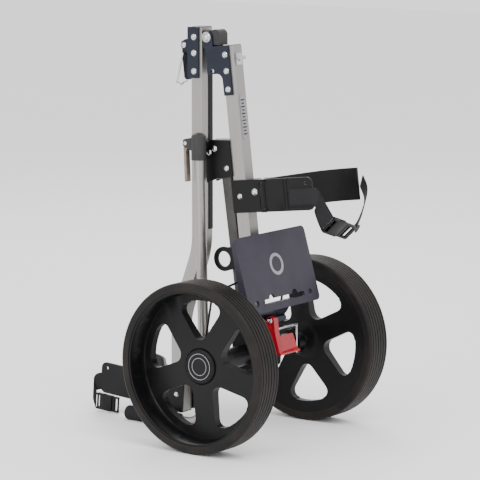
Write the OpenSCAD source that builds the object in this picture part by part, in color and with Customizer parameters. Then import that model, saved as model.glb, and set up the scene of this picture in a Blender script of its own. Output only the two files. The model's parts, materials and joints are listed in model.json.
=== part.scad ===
// Folding two-wheel golf push cart, folded for storage, without a bag.
// X runs along the axle, +Y points to the back of the folded cart and Z is up.
// The cart stands on both tyres and on its handle grip at Z = 0.

/* [Wheels] */
// Outside diameter of the tyres
wheel_d = 260; // [240:2:280]
// Width of the tyres
tyre_w = 49; // [40:1:52]
// Distance between the middle planes of the wheels
track = 295; // [290:1:320]
// Diameter of the axle
axle_d = 12; // [10:0.5:14]
// Windows between the spokes of a wheel
spokes = 5; // [4:1:6]

/* [Lower shaft] */
// Side of the square lower shaft
lower_tube = 22; // [20:0.5:22]
// Length of the lower shaft's centre line above the axle
lower_len = 472.5; // [440:0.5:472.5]
// Lean of the lower shaft from the vertical
lean = 6.6; // [5:0.1:7]
// Wall of the aluminium tubes
wall = 2; // [1.2:0.1:2.5]

/* [Upper shaft] */
// Width of the upper shaft along the axle
upper_w = 26; // [24:0.5:26]
// Depth of the upper shaft
upper_d = 20; // [18:0.5:20]
// Sideways step of the bend near the upper bracket
step_y = 41; // [30:1:46]
// Angle of that bend
step_ang = 20; // [14:1:24]

/* [Main hinge] */
// Distance from the lower shaft's centre line to the pivot
pivot_v = 34.6; // [34:0.1:36]
// Height of the pivot along the lower shaft
pivot_w = 488.4; // [486:0.1:492]
// Diameter of the pivot bolt
pivot_d = 8; // [6:0.5:8]
// Thickness of the steel hinge plates
plate_t = 2.8; // [2:0.1:3]

/* [Bag brackets] */
// Height of the bracket arms
arm_h = 50; // [40:1:50]
// Thickness of the bracket arms
arm_t = 4; // [3:0.5:5]
// Straight length of an arm
arm_straight = 78; // [60:1:80]
// Radius of the arm's curved end
arm_r = 57.6; // [50:0.2:60]
// Turn of the arm's curved end
arm_turn = 74; // [60:1:76]
// Distance of each arm's pin from the middle
pin_x = 14; // [13:0.5:16]
// Length of the straight lower arm from its pin
lower_straight = 91; // [80:1:100]
// Length of the straight upper arm from its pin
upper_straight = 108; // [90:1:110]

/* [Base plate] */
// Width of the base plate
base_w = 184; // [160:1:190]
// Height of the base plate
base_h = 118; // [100:1:120]
// Lean of the base plate from the vertical
base_lean = 16.2; // [14:0.1:18]

/* [Handle] */
// Diameter of the handle tube
handle_d = 16.5; // [14:0.5:17]
// Diameter of the handle grip
grip_d = 23; // [20:0.5:23]
// Distance of the handle tube from the middle plane
handle_x = 32; // [31:0.5:34]

/* [Hidden] */
// The frame stands with its origin under the middle of the whole cart
shift_y = -86.5;
axle_z = wheel_d / 2;
shaft_y = -6;
half_track = track / 2;
gap = 0.3;
run = 0.05;
lt = lower_tube / 2;
uw = upper_w / 2;
// Pivot of the main hinge in the cart's own frame
pivot_y = shaft_y + pivot_v * cos(lean) + pivot_w * sin(lean);
pivot_z = axle_z - pivot_v * sin(lean) + pivot_w * cos(lean);
// Upper shaft, hanging down behind the lower one
upper_front = pivot_y + 9.6;
upper_y = upper_front + upper_d / 2;
upper_top = pivot_z + 14;
upper_end = 20;
step_r = 130;
step_top = 305;
rivet_r = 2.4;
// Lower bracket on the lower shaft, upper bracket on the upper shaft
lower_br_w = 217;
upper_br_z = 22.5;
upper_br_tilt = 4;
pin_f = 34;
pin_r = 3;
arm_start = 16;
// Folded angles of the two upper arms
upper_fold_left = 74;
upper_fold_right = 24;
// Handle
socket_y = pivot_y + 2.1;
socket_z = 447;
handle_top = [85, 433];
handle_low = [76, 44.9];
handle_bend = 34;
grip_len = 104;
// Base plate hinge
base_y = -51.9;
base_z = 203.8;
hinge_pin_y = 7;
hinge_pin_z = 5;
// Brake pedal pivot
pedal_y = -43;
pedal_z = 187;
// Toggle latch on the back of the upper shaft
latch_y = upper_y + upper_d / 2 + 17.5;
latch_z = pivot_z - 14.5;

// ---------- placing helpers ----------
// The cart's own frame, with Y = 0 over the axle
module cart() { translate([0, shift_y, 0]) children(); }
// Frame of the lower shaft: z along it from the axle's height, y square to it
module on_shaft() { cart() translate([0, shaft_y, axle_z]) rotate([-lean, 0, 0]) children(); }
// Frame of a wheel: z outwards from its middle plane
module at_wheel(side) { cart() translate([side * half_track, 0, axle_z]) rotate([0, side * 90, 0]) children(); }
// Frame of the base plate: z up along it from its bottom edge
module on_base() { cart() translate([0, base_y, base_z]) rotate([-base_lean, 0, 0]) children(); }
// Frames of the bag brackets: y = 0 at the shaft's front face, -y towards the bag, z along the band
module lower_bracket() { on_shaft() translate([0, -lt, lower_br_w]) children(); }
module upper_bracket() {
    cart() translate([0, upper_y + step_y + upper_d / 2, upper_br_z]) rotate([upper_br_tilt, 0, 0])
        rotate([0, 0, 180]) children();
}

// ---------- shape helpers ----------
// Bar along X
module bar_x(r, x0, x1) { translate([x0, 0, 0]) rotate([0, 90, 0]) cylinder(r = r, h = x1 - x0, $fn = 40); }
// Domed cap of radius r and height h, standing on z = 0
module dome(r, h) {
    ball = (r * r + h * h) / (2 * h);
    intersection() {
        translate([0, 0, h - ball]) sphere(r = ball, $fn = 48);
        cylinder(r = r + 1, h = h + 1, $fn = 48);
    }
}
// Rivet along X with a domed head beyond each end
module rivet_x(half, r, head_r, head_h) {
    bar_x(r, -half, half);
    for (s = [-1, 1]) translate([s * half, 0, 0]) rotate([0, s * 90, 0]) dome(head_r, head_h);
}
// Points of a corner p rounded with radius r between its neighbours a and b
function unit(v) = v / norm(v);
function corner(a, p, b, r, n = 6) =
    let (u = unit(a - p), w = unit(b - p), half = acos(u * w) / 2, m = unit(u + w),
         c = p + m * r / sin(half), t0 = p + u * r / tan(half) - c, t1 = p + w * r / tan(half) - c,
         a0 = atan2(t0[1], t0[0]), d = atan2(t1[1], t1[0]) - a0,
         turn = d > 180 ? d - 360 : (d < -180 ? d + 360 : d))
    [for (i = [0:n]) c + r * [cos(a0 + turn * i / n), sin(a0 + turn * i / n)]];
function rounded(pts, r, n = 6) =
    let (k = len(pts))
    [for (i = [0:k - 1]) each corner(pts[(i + k - 1) % k], pts[i], pts[(i + 1) % k], r[i], n)];
// Rectangle with round corners, given by its low and high corners
module round_rect(lo, hi, r) {
    polygon(rounded([lo, [hi[0], lo[1]], hi, [lo[0], hi[1]]], [r, r, r, r]));
}
// Extrudes a Y-Z outline along X
module side_plate(x0, x1) { translate([x0, 0, 0]) rotate([90, 0, 90]) linear_extrude(x1 - x0) children(); }

// ---------- wheels ----------
groove_n = 6;
groove_w = 1.6;
groove_deep = 1.3;
tyre_in = axle_z - 13;
module tyre_profile() {
    h = tyre_w / 2;
    difference() {
        polygon(concat([[tyre_in, -h + 1], [tyre_in, h - 1], [tyre_in + 2, h]],
            [for (a = [0:15:90]) [axle_z - 5 + 5 * sin(a), h - 5 + 5 * cos(a)]],
            [for (a = [0:15:90]) [axle_z - 5 + 5 * cos(a), -h + 5 - 5 * sin(a)]],
            [[tyre_in + 2, -h]]));
        for (i = [0:groove_n - 1])
            translate([axle_z - groove_deep, -h + 7.5 + i * (tyre_w - 15) / (groove_n - 1) - groove_w / 2])
                square([groove_deep + 1, groove_w]);
    }
}
module tyre(side) {
    color([0.10, 0.095, 0.09]) at_wheel(side) rotate_extrude($fn = 120) tyre_profile();
}
hub_r = 30;
cap_r = 27;
rim_out = tyre_in - 0.02;
module rim_profile() {
    polygon([[axle_d / 2 + run, -24], [22, -24], [26, -22.5], [hub_r, -21], [70, -21.5], [108, -22.5],
        [rim_out, -23.5], [rim_out, 22.5], [rim_out - 3, 22.5], [rim_out - 3.6, 21], [rim_out - 4, -7],
        [rim_out - 6, -10.5], [80, -8.5], [50, -5.5], [34, -3.6], [cap_r + 1, -3.4], [cap_r + 1, -6],
        [axle_d / 2 + run, -6]]);
}
// Window between two spokes, centred on +X
spoke_half = 18;
window_out = 99;
module spoke_window() {
    half = 180 / spokes;
    tip = spoke_half / sin(half);
    wide = half - asin(spoke_half / window_out);
    side = window_out * [cos(wide), sin(wide)];
    polygon(concat(corner([side[0], -side[1]], [tip, 0], side, 13, 8),
        corner([tip, 0], side, window_out * [cos(wide - 20), sin(wide - 20)], 11, 5),
        [for (a = [wide - 10:-6:10 - wide]) window_out * [cos(a), sin(a)]],
        corner(window_out * [cos(20 - wide), sin(20 - wide)], [side[0], -side[1]], [tip, 0], 11, 5)));
}
module rim(side, phase) {
    color([0.07, 0.07, 0.075]) at_wheel(side) difference() {
        rotate_extrude($fn = 120) rim_profile();
        for (i = [0:spokes - 1]) rotate([0, 0, phase + i * 360 / spokes]) translate([0, 0, -30])
            linear_extrude(40) spoke_window();
    }
}
module hub_cap(side) {
    color([0.09, 0.09, 0.095]) at_wheel(side) difference() {
        rotate_extrude($fn = 72)
            polygon([[0, -5.9], [cap_r, -5.9], [cap_r, -2], [cap_r - 2.5, 0.2], [cap_r - 4, 0.4],
                [cap_r - 4.6, -0.4], [0, 0.4]]);
        translate([0, 0, -12]) cylinder(r = axle_d / 2 + 2, h = 8, $fn = 40);
    }
}
left_phase = 3;
right_phase = 208;
module tyre_left() { tyre(-1); }
module tyre_right() { tyre(1); }
module rim_left() { rim(-1, left_phase); }
module rim_right() { rim(1, right_phase); }
module hub_cap_left() { hub_cap(-1); }
module hub_cap_right() { hub_cap(1); }

// ---------- axle and lower frame ----------
tube_end = 112;
module axle() {
    color([0.72, 0.72, 0.74]) cart() translate([0, 0, axle_z])
        bar_x(axle_d / 2, 4.5 - half_track, half_track - 4.5);
}
module axle_spacers() {
    color([0.78, 0.78, 0.8]) cart() translate([0, 0, axle_z]) for (s = [-1, 1])
        difference() {
            bar_x(10, s > 0 ? tube_end + gap : 24.3 - half_track, s > 0 ? half_track - 24.3 : -tube_end - gap);
            bar_x(axle_d / 2 + run, -half_track, half_track);
        }
}
socket_floor = 16;
module lower_tube_shape(side, z0, z1) { translate([-side, -side, z0]) cube([2 * side, 2 * side, z1 - z0]); }
module axle_housing() {
    color([0.06, 0.06, 0.065]) difference() {
        union() {
            cart() side_plate(-30, 30) round_rect([-25, axle_z - 24], [25, axle_z + 46], 8);
            cart() translate([0, 0, axle_z]) bar_x(16, -tube_end, tube_end);
            for (s = [-1, 1]) cart() translate([0, 0, axle_z]) bar_x(21, s > 0 ? 88 : -104, s > 0 ? 104 : -88);
        }
        cart() translate([0, 0, axle_z]) bar_x(axle_d / 2 + 0.02, -tube_end - 1, tube_end + 1);
        on_shaft() lower_tube_shape(lt + 0.1, socket_floor - 0.1, 100);
        brace_space(8.7);
    }
}
rivet_spots = [459, 434, 406];
rivet_v = 4.2;
module lower_shaft() {
    color([0.80, 0.79, 0.78]) on_shaft() difference() {
        lower_tube_shape(lt, socket_floor, lower_len);
        lower_tube_shape(lt - wall, socket_floor - 1, lower_len + 1);
        for (w = rivet_spots) translate([0, rivet_v, w]) bar_x(rivet_r + 0.02, -20, 20);
        translate([0, -lt, catch_w]) rotate([90, 0, 0]) cylinder(r = rivet_r + 0.02, h = 3 * wall, center = true,
            $fn = 32);
        for (b = shaft_bolts) translate([0, b[0], b[1]]) bar_x(bolt_r + 0.02, -20, 20);
    }
}
bolt_r = 2.5;
// Bolts through the lower shaft: eye and bracket mount
shaft_bolts = [[2, 148], [0, 242]];
badge_w0 = 327;
badge_w1 = 398;
module shaft_badge() {
    color([0.62, 0.61, 0.60]) on_shaft() translate([0, -lt, 0]) rotate([90, 0, 0]) linear_extrude(0.6)
        round_rect([-7, badge_w0], [7, badge_w1], 6.9);
}
module lower_shaft_cap() {
    inner = lt - wall - 0.1;
    color([0.08, 0.08, 0.085]) on_shaft() {
        translate([0, 0, lower_len - 9]) linear_extrude(9) round_rect([-inner, -inner], [inner, inner], 2);
        translate([0, 0, lower_len]) linear_extrude(0.8) round_rect([-lt, -lt], [lt - 0.5, lt - 0.5], 2);
    }
}
catch_w = 452;
module catch_hook() {
    color([0.70, 0.70, 0.72]) on_shaft() {
        translate([0, -lt - 0.02, 0]) side_plate(-7, 7)
            polygon([[0, catch_w - 10], [0, catch_w + 8], [-1.8, catch_w + 8], [-1.8, catch_w + 2],
                [-9.5, catch_w + 3.4], [-9.5, catch_w - 2.5], [-8, catch_w - 2.5], [-7.6, catch_w + 0.8],
                [-1.8, catch_w - 0.6], [-1.8, catch_w - 10]]);
        translate([0, -lt - 1.8, catch_w - 5.2]) rotate([90, 0, 0]) dome(3.6, 1.8);
    }
}

// ---------- main hinge ----------
ear_r = 9.2;
module lower_plate_outline() {
    polygon(concat([[-3.5, 473.2], [-3.5, 397], [11.9, 397], [12.3, 421]],
        [for (a = [180:-15:90]) [22.3 + 10 * cos(a), 421 + 10 * sin(a)]],
        [[40, 431], [40, 470], [pivot_v + ear_r, 473.2]]));
    translate([pivot_v, pivot_w]) circle(r = ear_r, $fn = 60);
    translate([pivot_v - ear_r, 473]) square([2 * ear_r, pivot_w - 473]);
}
module lower_hinge_plates() {
    color([0.09, 0.10, 0.13]) on_shaft() difference() {
        for (s = [-1, 1]) translate([s > 0 ? lt : -lt - plate_t, 0, 0]) side_plate(0, plate_t) lower_plate_outline();
        translate([0, pivot_v, pivot_w]) bar_x(pivot_d / 2 + 0.02, -20, 20);
        for (w = rivet_spots) translate([0, rivet_v, w]) bar_x(rivet_r + 0.02, -20, 20);
        translate([0, 30, 436]) bar_x(3, -20, 20);
    }
}
head_r = 5;
head_h = 2.6;
module lower_hinge_rivets() {
    color([0.85, 0.85, 0.86]) on_shaft() for (w = rivet_spots)
        translate([0, rivet_v, w]) rivet_x(lt + plate_t, rivet_r, head_r, head_h);
}
module main_pivot_bolt() {
    color([0.85, 0.85, 0.86]) on_shaft() translate([0, pivot_v, pivot_w]) {
        bar_x(pivot_d / 2, -lt - plate_t, lt + plate_t);
        for (s = [-1, 1]) translate([s * (lt + plate_t), 0, 0]) rotate([0, s * 90, 0]) {
            cylinder(r = 8, h = 1.4, $fn = 48);
            translate([0, 0, 1.4]) dome(6, 3.2);
        }
    }
}
// Plastic knuckle on the upper shaft, between the lower plates
block_half = lt - 0.4;
module hinge_block() {
    color([0.27, 0.27, 0.29]) cart() difference() {
        side_plate(-block_half, block_half) polygon(concat(
            [[upper_front - 0.02, pivot_z - 12], [upper_front - 0.02, pivot_z + 9]],
            [for (a = [60:15:180]) [pivot_y - 13 + 9 * cos(a), pivot_z + 3 + 9 * sin(a)]],
            [[pivot_y - 22, pivot_z - 12]]));
        translate([0, pivot_y, pivot_z]) bar_x(pivot_d / 2 + run, -20, 20);
    }
}
upper_plate_z = [pivot_z - 64, pivot_z + 14.5];
upper_rivets = [pivot_z - 1, pivot_z - 25.5, pivot_z - 53.5];
upper_rivet_y = upper_y + 4.2;
module upper_hinge_plates() {
    color([0.09, 0.10, 0.13]) cart() difference() {
        for (s = [-1, 1]) translate([s > 0 ? uw : -uw - plate_t, 0, 0]) side_plate(0, plate_t)
            round_rect([upper_front + 5.2, upper_plate_z[0]], [upper_front + 26, upper_plate_z[1]], 2);
        for (z = upper_rivets) translate([0, upper_rivet_y, z]) bar_x(rivet_r + 0.02, -30, 30);
        translate([0, latch_y, latch_z]) bar_x(9, -30, 30);
    }
}
module upper_hinge_rivets() {
    color([0.85, 0.85, 0.86]) cart() for (z = upper_rivets)
        translate([0, upper_rivet_y, z]) rivet_x(uw + plate_t, rivet_r, head_r, head_h);
}

// ---------- upper shaft ----------
// Centre line of the bend: two arcs with a straight stretch between them
step_mid = (step_y - 2 * step_r * (1 - cos(step_ang))) / sin(step_ang);
function bend_line(off) = let (c1 = [step_r, step_top], dy = step_r * (1 - cos(step_ang)),
        p1 = [dy, step_top - step_r * sin(step_ang)],
        p2 = p1 + step_mid * [sin(step_ang), -cos(step_ang)],
        c2 = p2 - step_r * [cos(step_ang), sin(step_ang)])
    concat([for (i = [0:6]) let (a = step_ang * i / 6) c1 - (step_r - off) * [cos(a), sin(a)]],
        [for (i = [6:-1:0]) let (a = step_ang * i / 6) c2 + (step_r + off) * [cos(a), sin(a)]]);
function reversed(list) = [for (i = [len(list) - 1:-1:0]) list[i]];
module shaft_outline(half, top, bottom) {
    translate([upper_y, 0]) polygon(concat([[-half, top]], bend_line(-half), [[step_y - half, bottom],
        [step_y + half, bottom]], reversed(bend_line(half)), [[half, top]]));
}
module upper_shaft() {
    color([0.82, 0.81, 0.80]) cart() difference() {
        side_plate(-uw, uw) shaft_outline(upper_d / 2, upper_top, upper_end);
        side_plate(-uw + wall, uw - wall) shaft_outline(upper_d / 2 - wall, upper_top + 1, upper_end - 1);
        for (z = upper_rivets) translate([0, upper_rivet_y, z]) bar_x(rivet_r + 0.02, -30, 30);
        translate([0, boss_y, boss_z]) bar_x(bolt_r + 0.02, -30, 30);
        translate([0, -shift_y, 0]) upper_bracket() translate([0, upper_d / 2, 25]) bar_x(bolt_r + 0.02, -30, 30);
    }
}
strip_x = 3.5;
module upper_trim_strip() {
    color([0.10, 0.10, 0.12]) cart() translate([strip_x, upper_front - 1.22, 312])
        cube([uw - strip_x, 1.2, pivot_z - 30 - 312]);
}
module upper_shaft_cap() {
    color([0.10, 0.09, 0.10]) cart() {
        translate([0, upper_y, upper_top]) linear_extrude(1)
            round_rect([-uw, -upper_d / 2], [uw, upper_d / 2], 1.5);
        translate([0, upper_y, upper_top - 10]) linear_extrude(10)
            round_rect([-uw + wall + 0.1, -upper_d / 2 + wall + 0.1], [uw - wall - 0.1, -3], 1);
        translate([0, upper_y + step_y, upper_end - 1.5]) linear_extrude(1.5)
            round_rect([-uw, -upper_d / 2], [uw, upper_d / 2], 1.5);
    }
}

// ---------- toggle latch ----------
cheek = 7.5;
lever_len = 50;
module latch_base() {
    back = upper_y + upper_d / 2;
    color([0.06, 0.06, 0.07]) cart() difference() {
        union() {
            translate([-cheek - 2, back + 0.02, latch_z - 44]) cube([2 * cheek + 4, 2, 56]);
            for (s = [-1, 1]) translate([s > 0 ? cheek : -cheek - 2, 0, 0]) side_plate(0, 2)
                polygon([[back + 0.02, latch_z - 20], [back + 0.02, latch_z + 12], [latch_y - 2, latch_z + 9],
                    [latch_y + 5, latch_z + 5], [latch_y + 5.5, latch_z - 3], [latch_y - 4, latch_z - 9],
                    [back + 6, latch_z - 20]]);
        }
        translate([0, latch_y, latch_z]) bar_x(3.02, -30, 30);
    }
}
bail_y = latch_y - 1;
bail_z = latch_z - 13;
module latch_lever() {
    half = cheek - 0.35;
    color([0.05, 0.05, 0.055]) cart() difference() {
        side_plate(-half, half) polygon(concat(
            [for (a = [180:-20:0]) [latch_y + 5.5 * cos(a), latch_z + 5.5 * sin(a)]],
            [[latch_y + 4.6, latch_z - 20], [latch_y + 1, latch_z - lever_len], [latch_y - 2, latch_z - lever_len - 3],
                [latch_y - 8, latch_z - lever_len - 3], [latch_y - 11, latch_z - lever_len + 1],
                [latch_y - 9.6, latch_z - 26], [latch_y - 5.5, latch_z - 18]]));
        translate([0, latch_y, latch_z]) bar_x(3 + run, -30, 30);
        translate([0, bail_y, bail_z]) bar_x(1.3 + run, -30, 30);
    }
}
module latch_pin() {
    color([0.85, 0.85, 0.86]) cart() translate([0, latch_y, latch_z]) rivet_x(cheek + 2, 3, 4.6, 2.4);
}
wire_r = 1.3;
bail_half = 13;
bail_lean = 15;
bail_len = 47;
module bail_leg(len) { cylinder(r = wire_r, h = len, $fn = 24); sphere(r = wire_r, $fn = 24); }
module latch_bail() {
    color([0.80, 0.80, 0.80]) cart() translate([0, bail_y, bail_z]) rotate([bail_lean, 0, 0]) {
        bar_x(wire_r, -bail_half, bail_half);
        for (s = [-1, 1]) translate([s * bail_half, 0, 0]) {
            sphere(r = wire_r, $fn = 24);
            translate([0, 0, -bail_len]) bail_leg(bail_len);
        }
        translate([0, 0, -bail_len]) for (s = [-1, 1]) {
            translate([s * bail_half, 0, 0]) rotate([0, s * -90, 0]) bail_leg(7);
            translate([s * 6, 0, 0]) rotate([0, s * -128, 0]) bail_leg(7.6);
            translate([s * 6 - s * 7.6 * sin(52), 0, -7.6 * cos(52)]) sphere(r = wire_r, $fn = 24);
        }
    }
}

// ---------- centre bracket, brace and eye ----------
module centre_bracket() {
    color([0.05, 0.05, 0.055]) on_shaft() difference() {
        union() {
            side_plate(-14, 14) polygon(rounded([[lt + 0.02, 273], [40, 271], [44, 274], [43, 331], [lt + 0.02, 329]],
                [1, 2, 2, 2, 1]));
            side_plate(-12.9, 12.9) polygon(rounded([[42, 271], [61.5, 265], [60, 283], [55, 331], [42, 331]],
                [1, 2, 3, 2, 1]));
        }
        side_plate(-11.5, 11.5) polygon([[lt + 2, 265], [38, 265], [38, 327], [lt + 2, 327]]);
        side_plate(-10.9, 10.9) polygon([[46, 260], [70, 260], [70, 340], [46, 340]]);
        for (b = box_bolts) translate([0, b[0], b[1]]) bar_x(bolt_r + 0.02, -30, 30);
    }
}
// Place along v and w, half width of the part it goes through
box_bolts = [[39.9, 317, 14], [20.9, 286, 14], [52, 312, 12.9]];
module centre_bracket_bolts() {
    color([0.80, 0.80, 0.80]) on_shaft() for (b = box_bolts)
        translate([0, b[0], b[1]]) rivet_x(b[2], bolt_r, 4.6, 2.2);
}
brace_top = 282;
module brace_space(half) {
    on_shaft() side_plate(-half, half) polygon([[20 - half, 30], [20 + half, 30],
        [26.5 + half, brace_top], [26.5 - half, brace_top]]);
}
module brace_tube() {
    color([0.33, 0.32, 0.32]) difference() {
        brace_space(8.5);
        brace_space(6.9);
        on_shaft() translate([0, 20.9, 286]) bar_x(bolt_r + 6, -30, 30);
    }
}
eye_v = 41;
eye_w = 147;
module stow_eye() {
    color([0.05, 0.05, 0.055]) on_shaft() difference() {
        union() {
            side_plate(-lt - 4.2, -lt - 0.02) translate([eye_v, eye_w]) circle(r = 19, $fn = 72);
            side_plate(-lt - 4.2, -lt - 0.02)
                polygon([[-8, 134], [-8, 164], [eye_v - 6, eye_w + 18], [eye_v, eye_w - 18.5]]);
        }
        translate([0, eye_v, eye_w]) bar_x(12, -lt - 6, -lt + 1);
        translate([0, shaft_bolts[0][0], shaft_bolts[0][1]]) bar_x(bolt_r + 0.02, -30, 30);
    }
}
module side_rod(s) {
    reach = 96;
    drop = 100;
    translate([s * (lt + 0.05), 14, 243]) rotate([0, s * 97, 0]) cylinder(r = 1.8, h = reach - lt, $fn = 24);
    translate([s * (lt + (reach - lt) * cos(7)), 14, 243 - (reach - lt) * sin(7)]) {
        sphere(r = 2.1, $fn = 24);
        rotate([10, 0, 0]) translate([0, 0, -drop + 17.5]) cylinder(r = 1.8, h = drop - 17.5, $fn = 24);
    }
}
module side_rods() { color([0.06, 0.06, 0.065]) cart() for (s = [-1, 1]) side_rod(s); }

// ---------- base plate, its hinge and the brake pedal ----------
base_t = 4;
knuckle_x = [56, 66];
barrel_r = 5;
module base_plate() {
    color([0.27, 0.26, 0.30]) on_base() difference() {
        union() {
            rotate([90, 0, 0]) linear_extrude(base_t) round_rect([-base_w / 2, 0], [base_w / 2, base_h], 8);
            for (s = [-1, 1]) {
                translate([s > 0 ? knuckle_x[0] : -knuckle_x[1], 0, 0])
                    side_plate(0, knuckle_x[1] - knuckle_x[0]) {
                        translate([hinge_pin_y, hinge_pin_z]) circle(r = barrel_r, $fn = 40);
                        translate([-0.5, hinge_pin_z - barrel_r]) square([hinge_pin_y, 2 * barrel_r]);
                    }
                translate([s > 0 ? base_w / 2 - 3 : -base_w / 2, 0, 0]) side_plate(0, 3)
                    polygon([[-0.5, 8], [11, 8], [11, 14], [3, base_h - 8], [-0.5, base_h - 8]]);
            }
        }
        translate([0, 5, 0]) rotate([90, 0, 0]) linear_extrude(15) {
            round_rect([-54, 11], [54, 18.5], 2);
            for (s = [-1, 1]) {
                translate([s * 30, 18]) circle(r = 7, $fn = 48);
                translate([s * 70, 15]) circle(r = 5, $fn = 48);
            }
        }
        translate([0, hinge_pin_y, hinge_pin_z]) bar_x(2.5 + run, -80, 80);
    }
}
module base_plate_emblem() {
    color([0.55, 0.54, 0.58]) on_base() translate([0, -base_t, 0]) rotate([90, 0, 0]) linear_extrude(0.5)
        difference() {
            translate([0, 68]) circle(r = 17, $fn = 72);
            translate([0, 68]) circle(r = 12, $fn = 72);
        }
}
module plate_hinge_pin() {
    color([0.75, 0.75, 0.76]) on_base() translate([0, hinge_pin_y, hinge_pin_z]) bar_x(2.5, -68, 68);
}
// Hinge barrel on a bent plate that stands on the front of the axle housing
module plate_hinge_bracket() {
    color([0.06, 0.06, 0.065]) difference() {
        union() {
            on_base() translate([0, hinge_pin_y, hinge_pin_z])
                bar_x(barrel_r, -knuckle_x[0] + gap, knuckle_x[0] - gap);
            cart() side_plate(-50, 50) polygon([[-43.8, 211], [-43.8, 203], [-34, 202], [-31, 203], [-31, 211]]);
            cart() translate([0, -31, 0]) rotate([90, 0, 0]) linear_extrude(3)
                polygon([[-50, 209], [50, 209], [34, 193], [12, 179], [12, 156], [-12, 156], [-12, 179], [-34, 193]]);
            cart() side_plate(-12, 12) polygon([[-31.1, 176], [-25.3, 172], [-25.3, 152], [-31.1, 156]]);
            cart() side_plate(-14.7, 10) {
                translate([pedal_y, pedal_z]) circle(r = 5.5, $fn = 40);
                translate([pedal_y, pedal_z - 5.5]) square([11, 11]);
            }
        }
        on_base() translate([0, hinge_pin_y, hinge_pin_z]) bar_x(2.52, -80, 80);
        cart() translate([0, pedal_y, pedal_z]) bar_x(3.02, -30, 30);
    }
}
arm_left = -26;
arm_right = -15;
pad_right = 25;
module brake_pedal() {
    color([0.66, 0.07, 0.11]) cart() difference() {
        union() {
            side_plate(arm_left, arm_right) polygon(rounded([[pedal_y + 6.5, pedal_z + 7], [pedal_y - 7, pedal_z + 5],
                [-53, 168], [-61.5, 137], [-56, 135.5], [-47, 158], [pedal_y + 6, pedal_z - 12]],
                [6, 7, 20, 1.5, 2, 20, 6]));
            side_plate(arm_left, pad_right) polygon(rounded([[-50, 161.5], [-59, 140], [-64.5, 137], [-64, 134.5],
                [-57, 135.5], [-47, 160.5]], [1, 4, 0.8, 0.8, 4, 1]));
        }
        translate([0, pedal_y, pedal_z]) bar_x(3 + run, -30, 30);
    }
}
module brake_pedal_pin() {
    color([0.8, 0.8, 0.8]) cart() translate([0, pedal_y, pedal_z]) {
        bar_x(3, arm_left - gap, 11);
        translate([arm_left - gap, 0, 0]) rotate([0, -90, 0]) dome(4.4, 2);
    }
}
link_x = 44;
module brake_link() {
    color([0.78, 0.78, 0.78]) cart() translate([0, -44, 171]) {
        bar_x(2.2, arm_right + 0.02, link_x);
        translate([link_x, 0, 0]) sphere(r = 2.2, $fn = 32);
        translate([link_x, 0, -44]) cylinder(r = 1.6, h = 44, $fn = 32);
    }
}

// ---------- bag brackets ----------
module bracket_mount(half, depth) {
    cheek_x = half + 3.9;
    difference() {
        union() {
            linear_extrude(arm_h) {
                translate([-cheek_x, -27]) square([2 * cheek_x, 26.98]);
                for (s = [-1, 1]) translate([s > 0 ? half + 0.05 : -cheek_x, -0.1])
                    square([3.85, depth + 2.6]);
            }
            for (z = [0, arm_h - 5]) translate([0, 0, z]) linear_extrude(5) {
                for (s = [-1, 1]) translate([s * pin_x, -pin_f]) circle(r = 6.3, $fn = 48);
                translate([-pin_x, -pin_f - 3]) square([2 * pin_x, pin_f - 20]);
            }
        }
        translate([0, 0, 31]) translate([0, -17.5, 0]) bar_x(bolt_r + 0.52, -30, 30);
        for (s = [-1, 1]) translate([s * pin_x, -pin_f, -1]) cylinder(r = pin_r + 0.02, h = arm_h + 2, $fn = 40);
        translate([0, depth / 2, 25]) bar_x(bolt_r + 0.02, -30, 30);
    }
}
module bracket_bolt(half, depth) {
    translate([0, -17.5, 31]) rivet_x(half + 3.9, 3, 5.6, 2.6);
    translate([0, depth / 2, 25]) rivet_x(half + 3.9, bolt_r, 4.6, 2.2);
}
module bracket_pins() {
    for (s = [-1, 1]) translate([s * pin_x, -pin_f, -1]) {
        cylinder(r = pin_r, h = arm_h + 1, $fn = 40);
        translate([0, 0, arm_h + 1]) dome(3.8, 1.6);
    }
}
// Outline of an arm that leaves its pin along +X and curves towards -Y
module band_outline() {
    polygon(concat([[6.8, arm_t / 2]],
        [for (i = [0:10]) let (a = 90 - arm_turn * i / 10)
            [arm_straight + (arm_r + arm_t / 2) * cos(a), -arm_r + (arm_r + arm_t / 2) * sin(a)]],
        [for (i = [10:-1:0]) let (a = 90 - arm_turn * i / 10)
            [arm_straight + (arm_r - arm_t / 2) * cos(a), -arm_r + (arm_r - arm_t / 2) * sin(a)]],
        [[6.8, -arm_t / 2]]));
}
// Straight arm with round corners and a small hole near its end, as a band in the X-Z plane
module straight_band(len) {
    translate([0, arm_t / 2, 0]) rotate([90, 0, 0]) linear_extrude(arm_t) difference() {
        polygon(rounded([[6.8, 0], [len, 0], [len, arm_h], [6.8, arm_h]], [0.5, 9, 9, 0.5]));
        translate([len - 11, arm_h - 8.7]) circle(r = 2.8, $fn = 32);
    }
}
// A curved arm when len is 0, otherwise a straight one of that length
module arm_shape(len) {
    difference() {
        union() {
            if (len > 0) straight_band(len);
            else linear_extrude(arm_h) band_outline();
            translate([0, 0, 5 + gap]) linear_extrude(arm_h - 10 - 2 * gap) {
                circle(r = 5.4, $fn = 48);
                translate([0, -arm_t / 2]) square([8, arm_t]);
            }
            for (u = [38, 44]) translate([u, arm_t / 2 - 0.5, 0]) cylinder(r = 1.8, h = arm_h, $fn = 24);
        }
        translate([0, 0, -1]) cylinder(r = pin_r + run, h = arm_h + 2, $fn = 40);
    }
}
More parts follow.
